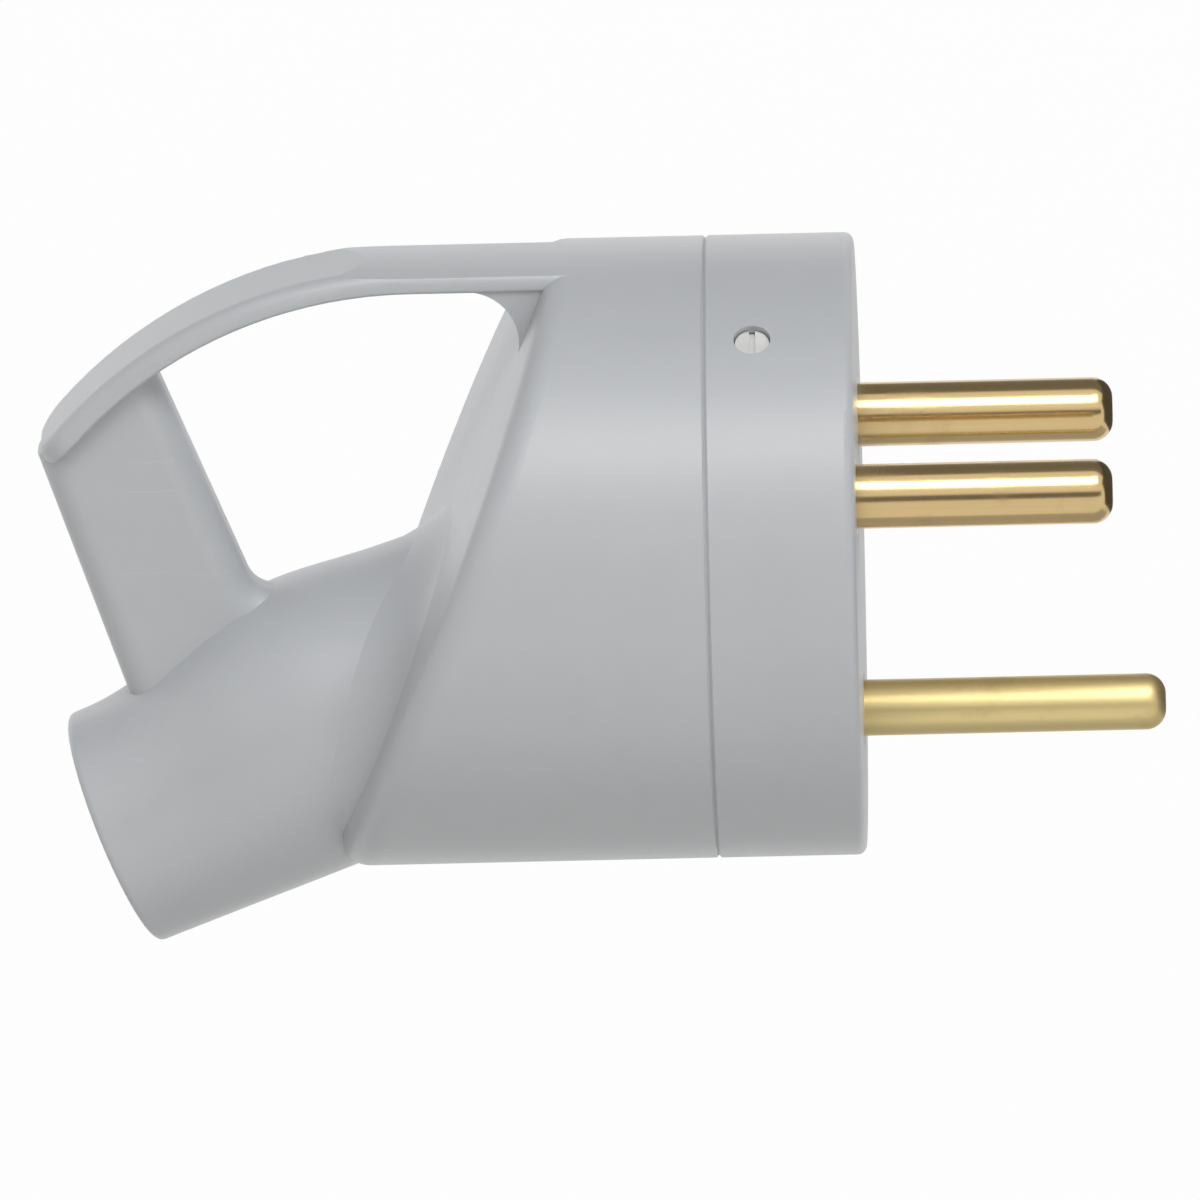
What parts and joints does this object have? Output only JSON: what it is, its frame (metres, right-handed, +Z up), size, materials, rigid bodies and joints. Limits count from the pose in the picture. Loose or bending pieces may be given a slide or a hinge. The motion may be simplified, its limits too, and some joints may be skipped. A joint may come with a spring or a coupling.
{
  "type": "electrical plug",
  "caption": "Round mains plug with solid round contact pins, a finger ring behind the body for pulling it out, and a tilted cable outlet.",
  "frame": {"origin": "centre of the flat socket face that meets the wall outlet", "axes": "+X out of the socket face along the pins, +Z up from the earth pin towards the ring's strap, +Y across from pin to pin"},
  "size_m": [0.0835, 0.0464, 0.0527],
  "materials": {
    "grey_plastic": "semi-gloss moulded",
    "pin_brass": "polished",
    "carrier_plastic": "matte moulded",
    "screw_steel": "zinc plated"
  },
  "bodies": {
    "root": {"rear_housing": "grey_plastic", "front_cover": "grey_plastic", "line_pin_left": "pin_brass", "line_pin_right": "pin_brass", "earth_pin": "pin_brass", "pin_carrier": "carrier_plastic", "cable_clamp": "carrier_plastic", "terminal_screws": "screw_steel", "carrier_screws": "screw_steel", "clamp_screws": "screw_steel", "cover_screws": "screw_steel"}
  },
  "joints": []
}
